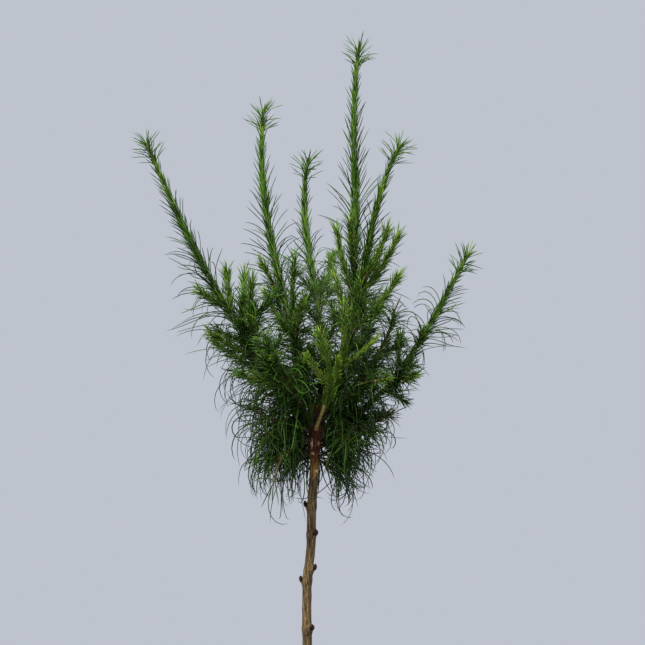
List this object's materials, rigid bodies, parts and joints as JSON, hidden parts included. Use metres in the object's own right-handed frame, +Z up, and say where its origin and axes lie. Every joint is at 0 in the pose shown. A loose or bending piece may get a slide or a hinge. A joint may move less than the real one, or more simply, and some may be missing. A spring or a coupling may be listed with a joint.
{
  "type": "potted tamarack",
  "caption": "Young grafted conifer in a clay pot: a bare upright stem with a fan of long needled shoots and a skirt of drooping needles at its head.",
  "frame": {"origin": "centre of the pot's flat underside, which stands on the ground", "axes": "+Z up the stem, +X to the right and -Y towards a viewer in front of the plant"},
  "size_m": [0.2728, 0.2309, 0.7859],
  "materials": {
    "clay": "matte unglazed",
    "compost": "rough, loose",
    "bark": "rough bark",
    "needles": "satin"
  },
  "bodies": {
    "root": {"pot": "clay", "soil": "compost", "trunk": "bark", "left_leader_bough": "bark", "left_leader_mass": "needles", "left_inner_leader_bough": "bark", "left_inner_leader_mass": "needles", "back_leader_bough": "bark", "back_leader_mass": "needles", "top_leader_bough": "bark", "top_leader_mass": "needles", "right_inner_leader_bough": "bark", "right_inner_leader_mass": "needles", "right_leader_bough": "bark", "right_leader_mass": "needles", "front_upper_shoot_bough": "bark", "front_upper_shoot_mass": "needles", "front_middle_shoot_bough": "bark", "front_middle_shoot_mass": "needles", "front_low_shoot_bough": "bark", "front_low_shoot_mass": "needles", "front_left_shoot_bough": "bark", "front_left_shoot_mass": "needles", "front_right_shoot_bough": "bark", "front_right_shoot_mass": "needles", "back_left_shoot_bough": "bark", "back_left_shoot_mass": "needles", "back_right_shoot_bough": "bark", "back_right_shoot_mass": "needles", "low_left_shoot_bough": "bark", "low_left_shoot_mass": "needles", "low_right_shoot_bough": "bark", "low_right_shoot_mass": "needles", "low_front_shoot_bough": "bark", "low_front_shoot_mass": "needles", "low_back_shoot_bough": "bark", "low_back_shoot_mass": "needles"}
  },
  "joints": []
}
